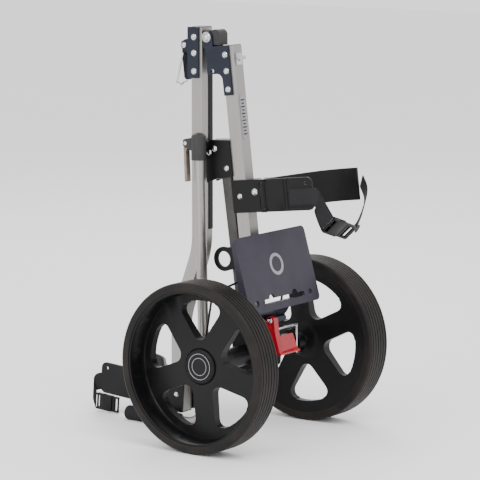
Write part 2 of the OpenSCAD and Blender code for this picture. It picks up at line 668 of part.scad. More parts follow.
// side is +1 or -1 in the bracket's own frame, fold turns the arm inwards
module arm(side, fold, len = 0) {
    translate([side * pin_x, -pin_f, 0]) rotate([0, 0, side * (-arm_start - fold)])
        mirror([side > 0 ? 0 : 1, 0, 0]) arm_shape(len);
}
arm_black = [0.12, 0.12, 0.13];
module lower_bracket_mount() { color([0.10, 0.10, 0.11]) lower_bracket() bracket_mount(lt, 2 * lt); }
module upper_bracket_mount() {
    color([0.10, 0.10, 0.11]) cart() difference() {
        translate([0, -shift_y, 0]) upper_bracket() bracket_mount(uw, upper_d);
        translate([-uw - 0.05, upper_y + step_y - upper_d / 2 - 5, 0]) cube([upper_w + 0.1, upper_d + 5.05, 200]);
    }
}
module lower_bracket_bolt() { color([0.85, 0.85, 0.86]) lower_bracket() bracket_bolt(lt, 2 * lt); }
module upper_bracket_bolt() { color([0.85, 0.85, 0.86]) upper_bracket() bracket_bolt(uw, upper_d); }
module lower_bracket_pins() { color([0.85, 0.85, 0.86]) lower_bracket() bracket_pins(); }
module upper_bracket_pins() { color([0.85, 0.85, 0.86]) upper_bracket() bracket_pins(); }
module lower_arm_left() { color(arm_black) lower_bracket() arm(-1, arm_turn, lower_straight); }
module lower_arm_right() { color(arm_black) lower_bracket() arm(1, 0); }
module upper_arm_left() { color(arm_black) upper_bracket() arm(1, upper_fold_left, upper_straight); }
module upper_arm_right() { color(arm_black) upper_bracket() arm(-1, upper_fold_right); }

// ---------- straps and buckles ----------
strap_t = 2;
strap_w = 28;
// One cross-section of a flat strap: centre, width direction, thickness direction
module strap_end(at) {
    translate(at[0]) for (s = [-0.5, 0.5], k = [-0.5, 0.5])
        translate(s * strap_w * at[1] + k * strap_t * at[2]) cube(0.4, center = true);
}
// Strap through a list of cross-sections
module strap_run(ends) {
    for (i = [0:len(ends) - 2]) hull() {
        strap_end(ends[i]);
        strap_end(ends[i + 1]);
    }
}
// Fastened buckle under the lower arms: x along it, y across it
buckle_at = [7.5, -132, -24.5];
buckle_x = [0.948, 0, -0.317];
buckle_y = [0.211, -0.744, 0.634];
buckle_z = cross(buckle_x, buckle_y);
socket_len = 34;
buckle_len = 60;
module on_buckle() {
    multmatrix([for (i = [0:2]) [buckle_x[i], buckle_y[i], buckle_z[i], buckle_at[i]]]) children();
}
module lower_strap_left() {
    color([0.11, 0.11, 0.12]) lower_bracket() strap_run([
        [[-17.4, -84, 20], [0, 0, 1], [1, 0, 0]],
        [[-17.4, -126, 20], [0, 0, 1], [1, 0, 0]],
        [[-13.5, -131, 16], [0, -0.25, 0.97], [0, 1, 0]],
        [[-8, -127, 8], [0.1, -0.5, 0.86], [0.95, 0.3, 0]],
        [buckle_at - 1.3 * buckle_x, buckle_y, [0.82, 0.46, 0.27]]]);
}
module lower_buckle_socket() {
    color([0.07, 0.07, 0.08]) lower_bracket() on_buckle()
        translate([0, -15, -4]) cube([socket_len, 30, 8]);
}
module lower_buckle_plug() {
    color([0.07, 0.07, 0.08]) lower_bracket() on_buckle()
        translate([socket_len + gap, -13.5, -3.5]) cube([buckle_len - socket_len - gap, 27, 7]);
}
module lower_strap_right() {
    slant = [0.5, 0.58, -0.64];
    out = [0.49, -0.8, -0.34];
    color([0.11, 0.11, 0.12]) lower_bracket() strap_run([
        [buckle_at + (buckle_len + 1.4) * buckle_x, buckle_y, buckle_z],
        [[92, -127, -36], slant, out],
        [[122, -122, -12], slant, out],
        [[139, -118, 9], slant, out],
        [[132, -115.5, 30], slant, out]]);
}
module upper_strap() {
    color([0.11, 0.11, 0.12]) upper_bracket() strap_run([
        [[10.6, -116, 20], [0, 0, 1], [1, 0, 0]],
        [[10.6, -143.5, 17], [0, 0, 1], [1, 0, 0]],
        [[14, -157, 10], [0, 0, 1], [0, 1, 0]],
        [[14.5, -151.8, -15], [0, 0, 1], [0, 1, 0]]]);
}
module upper_buckle() {
    color([0.07, 0.07, 0.08]) upper_bracket() translate([10, -150, -29]) cube([8, 46, 26.5]);
}

// ---------- handle ----------
boss_y = upper_y - 1;
boss_z = socket_z - 9;
module handle_boss() {
    color([0.06, 0.06, 0.065]) cart() {
        side_plate(-uw - 7.1, -uw - 0.02) {
            translate([socket_y, socket_z]) circle(r = 8, $fn = 48);
            translate([boss_y, boss_z]) circle(r = 8, $fn = 48);
            polygon([[socket_y + 4.4, socket_z + 6.6], [boss_y + 4.4, boss_z + 6.6], [boss_y - 4.4, boss_z - 6.6],
                [socket_y - 4.4, socket_z - 6.6]]);
        }
        translate([0, boss_y, boss_z]) {
            bar_x(bolt_r, -uw - 7, uw);
            translate([uw, 0, 0]) rotate([0, 90, 0]) dome(4.6, 2.4);
        }
        translate([0, socket_y, socket_z]) bar_x(pivot_bolt_r, -handle_x - 6, -uw - 7);
    }
}
pivot_bolt_r = 4;
socket_r = 11.5;
cam_y = 107;
cam_z = 449;
module handle_socket() {
    color([0.36, 0.36, 0.37]) cart() difference() {
        union() {
            translate([-handle_x, socket_y, 424]) {
                cylinder(r = socket_r, h = 37, $fn = 72);
                translate([0, 0, 37]) dome(socket_r, 5);
            }
            for (s = [-1, 1]) translate([s > 0 ? 5.3 - handle_x : -8 - handle_x, 0, 0]) side_plate(0, 2.7)
                polygon(rounded([[91, 437], [91, 459], [cam_y + 4, cam_z + 6], [cam_y + 4, cam_z - 5]],
                    [1, 1, 4, 4]));
        }
        handle_straight(handle_d / 2 + 0.05, 0.1);
        translate([0, socket_y, socket_z]) bar_x(pivot_bolt_r + run, -handle_x - 6.3, 0);
        translate([0, cam_y, cam_z]) bar_x(1.82, -handle_x - 20, 0);
    }
}
handle_lean = atan((handle_top[0] - handle_low[0]) / (handle_top[1] - handle_low[1]));
module handle_straight(r, more) {
    translate([-handle_x, handle_low[0], handle_low[1]]) rotate([-handle_lean, 0, 0])
        cylinder(r = r, h = (handle_top[1] - handle_low[1]) / cos(handle_lean) + more, $fn = 48);
}
// Straight tube with a quarter bend into a level end along +Y
module handle_tube() {
    color([0.83, 0.82, 0.81]) cart() difference() {
        union() {
            handle_straight(handle_d / 2, 0);
            translate([-handle_x, handle_low[0], handle_low[1]]) rotate([-handle_lean, 0, 0])
                translate([0, handle_bend, 0]) {
                    rotate([90, 0, 90]) rotate([0, 0, 180]) rotate_extrude(angle = 90, $fn = 72)
                        translate([handle_bend, 0]) circle(r = handle_d / 2, $fn = 48);
                    translate([0, 0, -handle_bend]) rotate([-90, 0, 0])
                        cylinder(r = handle_d / 2, h = 13.4, $fn = 48);
                }
        }
        handle_straight(handle_d / 2 - wall + 0.5, 2);
    }
}
module handle_grip() {
    color([0.08, 0.08, 0.085]) cart() difference() {
        translate([-handle_x, handle_low[0] + handle_bend + 14, handle_low[1] - handle_bend]) rotate([-90, 0, 0])
            rotate_extrude($fn = 60) polygon([[0, 0], [grip_d / 2 - 1, 0], [grip_d / 2, 1.5],
                [grip_d / 2, grip_len - 4], [grip_d / 2 - 3, grip_len], [0, grip_len]]);
        translate([-handle_x - 20, 100, -10]) cube([40, 200, 10]);
    }
}
module cam_lever() {
    color([0.62, 0.58, 0.55]) cart() translate([-handle_x, 0, 0]) difference() {
        side_plate(-5, 5) polygon(rounded([[cam_y - 3.5, cam_z + 5], [cam_y + 3.5, cam_z + 5],
            [cam_y + 5, cam_z - 8], [cam_y + 3, cam_z - 60], [cam_y - 1.5, cam_z - 60], [cam_y + 0.5, cam_z - 12],
            [cam_y - 3.5, cam_z - 5]], [3, 3, 6, 2, 2, 6, 1.5]));
        translate([0, cam_y, cam_z]) bar_x(1.8 + run, -10, 10);
    }
}
module cam_lever_pin() {
    color([0.85, 0.85, 0.86]) cart() translate([-handle_x, cam_y, cam_z]) rivet_x(8, 1.8, 3.2, 1.4);
}

lower_shaft();
shaft_badge();
lower_shaft_cap();
lower_hinge_plates();
lower_hinge_rivets();
main_pivot_bolt();
catch_hook();
centre_bracket();
centre_bracket_bolts();
brace_tube();
stow_eye();
axle_housing();
axle();
axle_spacers();
side_rods();
plate_hinge_bracket();
plate_hinge_pin();
lower_bracket_mount();
lower_bracket_bolt();
lower_bracket_pins();
lower_arm_left();
lower_arm_right();
lower_strap_left();
lower_strap_right();
lower_buckle_socket();
lower_buckle_plug();
base_plate();
base_plate_emblem();
brake_pedal();
brake_pedal_pin();
brake_link();
tyre_left();
rim_left();
hub_cap_left();
tyre_right();
rim_right();
hub_cap_right();
upper_shaft();
upper_trim_strip();
upper_shaft_cap();
upper_hinge_plates();
upper_hinge_rivets();
hinge_block();
latch_base();
latch_lever();
latch_pin();
latch_bail();
upper_bracket_mount();
upper_bracket_bolt();
upper_bracket_pins();
upper_arm_left();
upper_arm_right();
upper_strap();
upper_buckle();
handle_boss();
handle_socket();
handle_tube();
handle_grip();
cam_lever();
cam_lever_pin();
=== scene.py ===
"""Folded two-wheel golf push cart, finished over its CAD frame."""

import json
import math

import bmesh
import bpy
from mathutils import Matrix, Vector


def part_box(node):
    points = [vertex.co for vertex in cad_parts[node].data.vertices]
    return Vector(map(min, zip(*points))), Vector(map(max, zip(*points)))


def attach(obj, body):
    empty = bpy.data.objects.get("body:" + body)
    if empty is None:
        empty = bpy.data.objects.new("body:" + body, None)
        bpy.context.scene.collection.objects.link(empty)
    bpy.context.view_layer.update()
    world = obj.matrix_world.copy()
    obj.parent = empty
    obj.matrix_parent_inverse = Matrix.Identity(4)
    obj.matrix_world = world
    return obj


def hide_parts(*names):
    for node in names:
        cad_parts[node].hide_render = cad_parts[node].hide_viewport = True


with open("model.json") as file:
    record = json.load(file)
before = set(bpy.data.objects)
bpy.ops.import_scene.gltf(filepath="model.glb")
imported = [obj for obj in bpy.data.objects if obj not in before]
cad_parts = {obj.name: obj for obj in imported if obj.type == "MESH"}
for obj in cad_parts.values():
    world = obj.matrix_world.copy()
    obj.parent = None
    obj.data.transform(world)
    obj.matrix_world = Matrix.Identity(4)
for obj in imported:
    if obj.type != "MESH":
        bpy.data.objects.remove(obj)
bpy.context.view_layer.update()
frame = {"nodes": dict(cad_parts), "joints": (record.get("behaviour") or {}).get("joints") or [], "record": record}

bl_info = {
    "name": "Golf Push Cart",
    "version": (1, 0, 0),
    "blender": (4, 5, 0),
    "location": "View3D > Sidebar > Push Cart",
    "description": "Builds the finished surfaces of a folded golf push cart over its CAD frame",
    "category": "Object",
}

MM = 0.001
RECORD = frame["record"]
SLOT_OF = {s["node"]: s["material_slot"] for s in RECORD["subparts"]}
BODY_OF = {n: b for b, nodes in RECORD["behaviour"]["bodies"].items() for n in nodes}
JOINTS = {j["name"]: j for j in frame["joints"]}

# CAD nodes shown as a copy with softened edges, with the softening radius in millimetres
SOFT_PLASTIC = {
    "lower_arm_left": 0.9, "lower_arm_right": 0.9, "upper_arm_left": 0.9, "upper_arm_right": 0.9,
    "lower_bracket_mount": 1.0, "upper_bracket_mount": 1.0, "centre_bracket": 1.0, "stow_eye": 0.9,
    "axle_housing": 1.2, "base_plate": 0.9, "brake_pedal": 0.9, "hinge_block": 1.0, "handle_boss": 1.0,
    "handle_socket": 0.7, "lower_shaft_cap": 0.4, "upper_shaft_cap": 0.4, "hub_cap_left": 0.5,
    "hub_cap_right": 0.5, "rim_left": 0.8, "rim_right": 0.8,
}
SOFT_METAL = {
    "lower_shaft": 0.7, "upper_shaft": 0.7, "lower_hinge_plates": 0.35, "upper_hinge_plates": 0.35,
    "plate_hinge_bracket": 0.4, "latch_base": 0.35, "latch_lever": 0.6, "cam_lever": 0.8, "catch_hook": 0.2,
    "brace_tube": 0.8, "axle_spacers": 0.4,
}

LEAN = math.radians(6.6)  # of the lower shaft, back from upright

# left arm's pin in its bag bracket's own frame, in millimetres: out to the side, forward and up
PIN_OUT, PIN_FORWARD, PIN_UP = 14.0, 34.0, 25.0

# fastened lower buckle in the lower bracket's frame: its webbing end, and the directions along and across it
BUCKLE_AT = (7.5, -132.0, -24.5)
BUCKLE_ALONG = (0.948, 0.0, -0.317)
BUCKLE_ACROSS = (0.211, -0.744, 0.634)

# middle of the hanging upper buckle's webbing bar in the upper bracket's frame, in millimetres
UPPER_BUCKLE_AT = (14.0, -148.0, -15.7)

X, Y, Z = 0, 1, 2

CAMERA_AT = (-3.1864, -2.3629, 0.9008)
CAMERA_AIM = (0.0120, -0.0461, 0.2985)
CAMERA_LENS = 194.2
LAMP_AIM = (0.0, 0.0, 0.3)
# name, direction from the aim, size in metres, power in watts
LAMPS = (
    ("key", (-0.35, -0.75, 0.95), 1.5, 46.0),
    ("fill", (-1.0, 0.1, 0.35), 1.6, 18.0),
    ("rim", (0.75, 0.65, 0.8), 1.2, 22.0),
)


class CartSizes(bpy.types.PropertyGroup):
    """Sizes of the parts that are modelled here."""

    strap_width: bpy.props.FloatProperty(
        name="Strap Width", description="Width of the webbing straps", default=0.028, unit="LENGTH")
    strap_thickness: bpy.props.FloatProperty(
        name="Strap Thickness", description="Thickness of the webbing", default=0.0016, unit="LENGTH")
    weave_pitch: bpy.props.FloatProperty(
        name="Weave Pitch", description="Length of one rib of the webbing's weave", default=0.0022,
        unit="LENGTH")
    rib_pitch: bpy.props.FloatProperty(
        name="Grip Rib Pitch", description="Distance between the ribs of the handle grip", default=0.0055,
        unit="LENGTH")
    rib_depth: bpy.props.FloatProperty(
        name="Grip Rib Depth", description="Depth of the grooves of the handle grip", default=0.0006,
        unit="LENGTH")
    lamp_distance: bpy.props.FloatProperty(
        name="Lamp Distance", description="Distance of the studio lamps from the cart", default=2.2,
        unit="LENGTH")


class CartColours(bpy.types.PropertyGroup):
    """Colours of the finishes."""

    aluminium: bpy.props.FloatVectorProperty(
        name="Aluminium", description="Anodised tube", subtype="COLOR", default=(0.33, 0.315, 0.30))
    black_plastic: bpy.props.FloatVectorProperty(
        name="Black Plastic", description="Moulded nylon", subtype="COLOR", default=(0.0035, 0.0035, 0.004))
    black_steel: bpy.props.FloatVectorProperty(
        name="Black Steel", description="Powder-coated plate", subtype="COLOR", default=(0.008, 0.011, 0.021))
    bright_zinc: bpy.props.FloatVectorProperty(
        name="Bright Zinc", description="Plated steel", subtype="COLOR", default=(0.55, 0.55, 0.57))
    # brace tube colour: partly its dark coat and partly painted shade for the shadow it lies in behind the shaft
    dark_grey_tube: bpy.props.FloatVectorProperty(
        name="Dark Tube", description="Coated brace tube", subtype="COLOR", default=(0.05, 0.047, 0.045))
    dark_grey_plastic: bpy.props.FloatVectorProperty(
        name="Dark Grey Plastic", description="Hinge block and handle socket", subtype="COLOR",
        default=(0.030, 0.029, 0.030))
    plate_plastic: bpy.props.FloatVectorProperty(
        name="Plate Plastic", description="Bag plate", subtype="COLOR", default=(0.030, 0.026, 0.038))
    emblem_grey: bpy.props.FloatVectorProperty(
        name="Emblem Grey", description="Printed ring and badge", subtype="COLOR", default=(0.24, 0.23, 0.25))
    red_plastic: bpy.props.FloatVectorProperty(
        name="Red Plastic", description="Brake pedal", subtype="COLOR", default=(0.30, 0.006, 0.014))
    taupe_metal: bpy.props.FloatVectorProperty(
        name="Taupe Metal", description="Cam lever", subtype="COLOR", default=(0.20, 0.165, 0.14))
    tyre_rubber: bpy.props.FloatVectorProperty(
        name="Tyre Rubber", description="Tyre", subtype="COLOR", default=(0.005, 0.0043, 0.004))
    grip_foam: bpy.props.FloatVectorProperty(
        name="Grip Foam", description="Handle grip", subtype="COLOR", default=(0.009, 0.009, 0.0095))
    webbing: bpy.props.FloatVectorProperty(
        name="Webbing", description="Woven straps", subtype="COLOR", default=(0.010, 0.010, 0.011))
    floor: bpy.props.FloatVectorProperty(
        name="Floor", description="Studio floor", subtype="COLOR", default=(0.93, 0.93, 0.93))


# ---------- shader helpers ----------
class Value:
    """Output socket of a shader tree that can be used in sums."""

    def __init__(self, shader, socket):
        self.shader = shader
        self.socket = socket

    def sum(self, operation, *terms):
        node = self.shader.node("ShaderNodeMath", {"operation": operation}, dict(enumerate(terms)))
        return Value(self.shader, node.outputs[0])

    def __add__(self, other):
        return self.sum("ADD", self, other)

    def __radd__(self, other):
        return self.sum("ADD", other, self)

    def __sub__(self, other):
        return self.sum("SUBTRACT", self, other)

    def __rsub__(self, other):
        return self.sum("SUBTRACT", other, self)

    def __mul__(self, other):
        return self.sum("MULTIPLY", self, other)

    def __rmul__(self, other):
        return self.sum("MULTIPLY", other, self)

    def sine(self):
        return self.sum("SINE", self)

    def size(self):
        return self.sum("ABSOLUTE", self)


class Finish:
    """Node tree of one material."""

    def __init__(self, name):
        self.material = bpy.data.materials.new(name)
        self.material.use_nodes = True
        self.tree = self.material.node_tree
        self.tree.nodes.clear()
        self.place = self.node("ShaderNodeTexCoord")

    def node(self, kind, settings=None, inputs=None):
        """Adds a node: settings first, then values and links by socket."""
        made = self.tree.nodes.new(kind)
        for name, value in (settings or {}).items():
            setattr(made, name, value)
        for key, value in (inputs or {}).items():
            value = value.socket if isinstance(value, Value) else value
            if isinstance(value, bpy.types.NodeSocket):
                self.tree.links.new(value, made.inputs[key])
            else:
                made.inputs[key].default_value = value
        return made

    def stretched(self, scale, turn=(0.0, 0.0, 0.0)):
        node = self.node("ShaderNodeMapping", {}, {
            "Vector": self.place.outputs["Object"], "Rotation": turn, "Scale": scale})
        return node.outputs[0]

    def noise(self, vector, scale=1.0, detail=4.0, roughness=0.55):
        node = self.node("ShaderNodeTexNoise", {}, {
            "Vector": vector, "Scale": scale, "Detail": detail, "Roughness": roughness})
        return Value(self, node.outputs["Fac"])

    def ramp(self, value, low, high, start=0.0, end=1.0):
        node = self.node("ShaderNodeMapRange", {"clamp": True}, {
            0: value, 1: low, 2: high, 3: start, 4: end})
        return Value(self, node.outputs[0])

    def mix(self, factor, a, b):
        node = self.node("ShaderNodeMix", {"data_type": "RGBA"}, {0: factor, 6: a, 7: b})
        return node.outputs[2]

    def bump(self, height, distance, strength=1.0, below=None):
        inputs = {"Height": height, "Distance": distance, "Strength": strength}
        if below is not None:
            inputs["Normal"] = below
        return self.node("ShaderNodeBump", {}, inputs).outputs[0]

    def surface(self, **inputs):
        names = {"colour": "Base Color", "rough": "Roughness", "metal": "Metallic", "normal": "Normal",
                 "coat": "Coat Weight"}
        values = {names[k]: v for k, v in inputs.items()}
        values["Specular IOR Level"] = 0.2
        shader = self.node("ShaderNodeBsdfPrincipled", {}, values)
        self.node("ShaderNodeOutputMaterial", {}, {"Surface": shader.outputs[0]})
        return self.material


def rgba(colour, brighter=1.0):
    return tuple(min(c * brighter, 1.0) for c in colour) + (1.0,)


def moulded(name, colour, rough=0.42, grain=0.00006, coat=0.0):
    """Moulded plastic: fine spark grain, flow marks and faint rubbed places."""
    f = Finish(name)
    at = f.place.outputs["Object"]
    fine = f.noise(at, 2600.0, 2.0)
    flow = f.noise(f.stretched((1.0, 1.0, 0.35)), 38.0, 3.0)
    rub = f.ramp(f.noise(at, 90.0, 5.0, 0.7), 0.58, 0.74)
    tone = f.mix(f.ramp(flow, 0.3, 0.7), rgba(colour, 0.86), rgba(colour, 1.16))
    tone = f.mix(rub * 0.35, tone, rgba(colour, 1.7))
    normal = f.bump(fine, grain)
    rough = rough + 0.10 * (flow - 0.5) + 0.08 * rub
    return f.surface(colour=tone, rough=rough, normal=normal, coat=coat)


def drawn(name, colour):
    """Anodised aluminium tube with fine drawing lines along it."""
    f = Finish(name)
    lines = f.noise(f.stretched((1500.0, 1500.0, 9.0), (LEAN, 0.0, 0.0)), 1.0, 3.0)
    cloud = f.noise(f.place.outputs["Object"], 16.0, 3.0)
    scratch = f.ramp(f.noise(f.stretched((260.0, 260.0, 30.0), (0.5, 0.0, 0.3)), 1.0, 6.0, 0.7), 0.68, 0.72)
    tone = f.mix(f.ramp(lines, 0.35, 0.65), rgba(colour, 0.93), rgba(colour, 1.04))
    tone = f.mix(scratch * 0.3, tone, rgba(colour, 1.25))
    rough = 0.34 + 0.09 * (cloud - 0.5) + 0.10 * (lines - 0.5) - 0.08 * scratch
    return f.surface(colour=tone, metal=0.92, rough=rough, normal=f.bump(lines, 0.00003))


def coated(name, colour, rough=0.36):
    """Powder-coated steel with orange peel."""
    f = Finish(name)
    peel = f.noise(f.place.outputs["Object"], 700.0, 2.0, 0.4)
    cloud = f.noise(f.place.outputs["Object"], 45.0, 4.0)
    tone = f.mix(f.ramp(cloud, 0.35, 0.7), rgba(colour, 0.85), rgba(colour, 1.35))
    rough = rough + 0.12 * (cloud - 0.5)
    return f.surface(colour=tone, rough=rough, metal=0.25, normal=f.bump(peel, 0.00012), coat=0.25)


def plated(name, colour):
    """Zinc-plated steel with fine turning marks and dull spots."""
    f = Finish(name)
    marks = f.noise(f.stretched((1900.0, 240.0, 240.0)), 1.0, 2.0)
    dull = f.ramp(f.noise(f.place.outputs["Object"], 150.0, 5.0, 0.65), 0.52, 0.7)
    tone = f.mix(dull, rgba(colour), rgba(colour, 0.74))
    rough = 0.17 + 0.16 * dull + 0.05 * (marks - 0.5)
    return f.surface(colour=tone, metal=1.0, rough=rough, normal=f.bump(marks, 0.00002))


def rubber(name, colour):
    """Soft tyre rubber with dust in its grain and patches of painted brownish highlight."""
    f = Finish(name)
    at = f.place.outputs["Object"]
    grain = f.noise(at, 1500.0, 3.0)
    # painted highlight: brownish sheen patches mixed into the rubber's colour, which also vary its roughness
    painted_sheen = f.ramp(f.noise(at, 22.0, 5.0, 0.6), 0.42, 0.72)
    dust = f.ramp(f.noise(at, 420.0, 4.0, 0.7), 0.6, 0.76)
    # colour of the painted brownish highlight
    painted_sheen_brown = (0.030, 0.022, 0.018, 1.0)
    grey_dust = (0.12, 0.11, 0.10, 1.0)
    tone = f.mix(painted_sheen * 0.55, rgba(colour), painted_sheen_brown)
    tone = f.mix(dust * 0.08, tone, grey_dust)
    rough = 0.56 + 0.14 * (painted_sheen - 0.5) + 0.12 * dust
    return f.surface(colour=tone, rough=rough, normal=f.bump(grain, 0.00009))


def foam(name, colour):
    """Soft closed-cell grip."""
    f = Finish(name)
    cell = f.node("ShaderNodeTexVoronoi", {}, {"Vector": f.place.outputs["Object"], "Scale": 900.0})
    cells = Value(f, cell.outputs["Distance"])
    cloud = f.noise(f.place.outputs["Object"], 60.0, 4.0)
    tone = f.mix(cloud, rgba(colour, 0.8), rgba(colour, 1.6))
    return f.surface(colour=tone, rough=0.72 + 0.1 * (cloud - 0.5), normal=f.bump(cells, 0.00012))


def woven(name, colour, pitch, width):
    """Flat nylon webbing: ribs along it, cross threads and stitched borders, on its own UV map in metres."""
    f = Finish(name)
    split = f.node("ShaderNodeSeparateXYZ", {}, {"Vector": f.place.outputs["UV"]})
    u, v = Value(f, split.outputs[0]), Value(f, split.outputs[1])
    along = (v * (2 * math.pi / pitch) + 1.6 * (u * (2 * math.pi / (pitch * 1.6))).sine()).sine()
    across = (u * (2 * math.pi / (pitch * 0.8))).sine()
    thread = 0.5 + 0.28 * along + 0.22 * across
    border = (u.size() - width * 0.42).size()
    seam = 1.0 - f.ramp(border, 0.0, 0.0008)
    fuzz = f.noise(f.place.outputs["Object"], 1900.0, 3.0)
    tone = f.mix(thread, rgba(colour, 0.55), rgba(colour, 1.75))
    tone = f.mix(0.35 * fuzz, tone, rgba(colour, 2.1))
    normal = f.bump(fuzz, 0.00008, 0.7, f.bump(thread - 0.5 * seam, 0.0004))
    return f.surface(colour=tone, rough=0.66 + 0.12 * (fuzz - 0.5), normal=normal)


def finishes(sizes, colours):
    """All materials by slot name."""
    return {
        "aluminium": drawn("anodised_aluminium", colours.aluminium),
        "black_plastic": moulded("black_nylon", colours.black_plastic, 0.36),
        "black_steel": coated("powder_coated_steel", colours.black_steel),
        "bright_zinc": plated("bright_zinc_plate", colours.bright_zinc),
        # the brace tube's near-black colour holds painted shade as well as its coat
        "dark_grey_tube": coated("dark_tube_coat", colours.dark_grey_tube, 0.42),
        "dark_grey_plastic": moulded("dark_grey_nylon", colours.dark_grey_plastic, 0.4),
        "plate_plastic": moulded("plate_nylon", colours.plate_plastic, 0.4, 0.0001),
        "emblem_grey": moulded("emblem_print", colours.emblem_grey, 0.33, 0.00002),
        "red_plastic": moulded("red_gloss", colours.red_plastic, 0.18, 0.00001, 0.6),
        "taupe_metal": coated("taupe_coat", colours.taupe_metal, 0.32),
        "tyre_rubber": rubber("tyre_rubber", colours.tyre_rubber),
        "grip_foam": foam("grip_foam", colours.grip_foam),
        "webbing": woven("woven_webbing", colours.webbing, sizes.weave_pitch, sizes.strap_width),
    }


# ---------- mesh helpers ----------
def sizes_of(context):
    return context.scene.push_cart_sizes


def finish_of(context, slot):
    name = "finish_" + slot
    if name not in context.scene:
        raise RuntimeError("run the finishes first")
    return bpy.data.materials[context.scene[name]]


def add_piece(context, name, mesh, body, slot, angle=32.0):
    """Links a finished mesh, gives it its material and hands it to its body."""
    piece = bpy.data.objects.new(name, mesh)
    context.scene.collection.objects.link(piece)
    mesh.materials.clear()
    mesh.materials.append(finish_of(context, slot))
    mesh.shade_smooth()
    mesh.set_sharp_from_angle(angle=math.radians(angle))
    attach(piece, body)
    return piece


def mesh_of(bm, name):
    bmesh.ops.recalc_face_normals(bm, faces=bm.faces)
    mesh = bpy.data.meshes.new(name)
    bm.to_mesh(mesh)
    bm.free()
    return mesh


def cad_copy(node):
    """A bmesh of a CAD node in the row frame with its doubles merged."""
    source = frame["nodes"][node]
    bm = bmesh.new()
    bm.from_mesh(source.data)
    bm.transform(source.matrix_world)
    bmesh.ops.remove_doubles(bm, verts=bm.verts, dist=0.00001)
    bmesh.ops.dissolve_limit(bm, angle_limit=math.radians(0.4), verts=bm.verts, edges=bm.edges)
    return bm


def soften(piece, width):
    """Rounds the sharp edges of a piece."""
    bevel = piece.modifiers.new("soft_edges", "BEVEL")
    bevel.width = width
    bevel.segments = 2
    bevel.limit_method = "ANGLE"
    bevel.angle_limit = math.radians(38)
    bevel.use_clamp_overlap = True
    bevel.harden_normals = True


def add_block(bm, low, high, radius, place):
    """Adds a box with rounded edges, corners in millimetres, to bm."""
    made = bmesh.ops.create_cube(bm, size=1.0)["verts"]
    low, high = Vector(low), Vector(high)
    for v in made:
        v.co = Vector([(low[i] + high[i]) / 2 + v.co[i] * (high[i] - low[i]) for i in range(3)])
    edges = list({e for v in made for e in v.link_edges})
    made = bmesh.ops.bevel(bm, geom=edges, offset=radius, offset_type="OFFSET", segments=3, profile=0.5,
                           affect="EDGES", clamp_overlap=True, material=-1)
    verts = {v for f in made["faces"] for v in f.verts}
    for v in verts:
        v.co = place @ (v.co * MM)


def add_pair(bm, low, high, radius, place, axis):
    """Adds a rounded block and its mirror image across one axis of place."""
    add_block(bm, low, high, radius, place)
    low, high = list(low), list(high)
    low[axis], high[axis] = -high[axis], -low[axis]
    add_block(bm, low, high, radius, place)


def add_rod(bm, start, end, radius, place):
    """Adds a round bar between two points in millimetres to bm."""
    start, end = Vector(start), Vector(end)
    turn = (end - start).to_track_quat("Z", "Y").to_matrix().to_4x4()
    middle = Matrix.Translation((start + end) / 2) @ turn
    made = bmesh.ops.create_cone(bm, cap_ends=True, segments=24, radius1=radius, radius2=radius,
                                 depth=(end - start).length)["verts"]
    for v in made:
        v.co = place @ ((middle @ v.co) * MM)


def bracket_place(joint_name, facing):
    """Matrix of a bag bracket's own frame, found from its left arm's joint; facing is -1 if it looks back."""
    joint = JOINTS[joint_name]
    up = Vector(joint["axis"])
    up = up if up.z > 0 else -up
    side = Vector((facing, 0.0, 0.0))
    turn = Matrix((side, up.cross(side), up)).transposed()
    pin = Vector((-facing * PIN_OUT, -PIN_FORWARD, PIN_UP)) * MM
    return Matrix.Translation(Vector(joint["pos_m"]) - turn @ pin) @ turn.to_4x4()


def lower_bracket():
    return bracket_place("lower_left_arm_swing", 1.0)


def upper_bracket():
    return bracket_place("upper_left_arm_swing", -1.0)


def buckle_place():
    """Matrix of the fastened lower buckle, with x along it and y across it."""
    x, y = Vector(BUCKLE_ALONG), Vector(BUCKLE_ACROSS)
    turn = Matrix((x, y, x.cross(y))).transposed().to_4x4()
    return lower_bracket() @ Matrix.Translation(Vector(BUCKLE_AT) * MM) @ turn


def through(points, steps):
    """Smooth line through points: (point, width direction) pairs with steps parts between each two."""
    out = []
    last = len(points) - 1
    for i in range(last):
        near = [points[max(i - 1, 0)], points[i], points[i + 1], points[min(i + 2, last)]]
        for k in range(steps + (i == last - 1)):
            t = k / steps
            weights = (-t ** 3 + 2 * t ** 2 - t, 3 * t ** 3 - 5 * t ** 2 + 2,
                       -3 * t ** 3 + 4 * t ** 2 + t, t ** 3 - t ** 2)
            out.append([sum((Vector(p[m]) * w / 2 for p, w in zip(near, weights)), Vector()) for m in (0, 1)])
    return out


def add_strap(context, name, node, sections, place):
    """A ribbon through (centre, width direction) sections in millimetres, standing for a CAD strap."""
    sizes = sizes_of(context)
    line = through(sections, 8)
    half = sizes.strap_width / 2
    bm = bmesh.new()
    bmesh.ops.create_grid(bm, x_segments=6, y_segments=len(line) - 1, size=1.0)
    uv = bm.loops.layers.uv.new("UVMap")
    run = [0.0]
    for a, b in zip(line, line[1:]):
        run.append(run[-1] + (b[0] - a[0]).length * MM)
    spot = {}
    for v in bm.verts:
        i = round((v.co.y + 1) / 2 * (len(line) - 1))
        centre, across = line[i]
        spot[v] = (v.co.x * half, run[i])
        v.co = place @ (centre * MM + across.normalized() * v.co.x * half)
    for face in bm.faces:
        for loop in face.loops:
            loop[uv].uv = spot[loop.vert]
    piece = add_piece(context, name, mesh_of(bm, name), BODY_OF[node], "webbing", 60.0)
    thick = piece.modifiers.new("thickness", "SOLIDIFY")
    thick.thickness = sizes.strap_thickness
    thick.offset = 0.0
    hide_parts(node)
    return piece


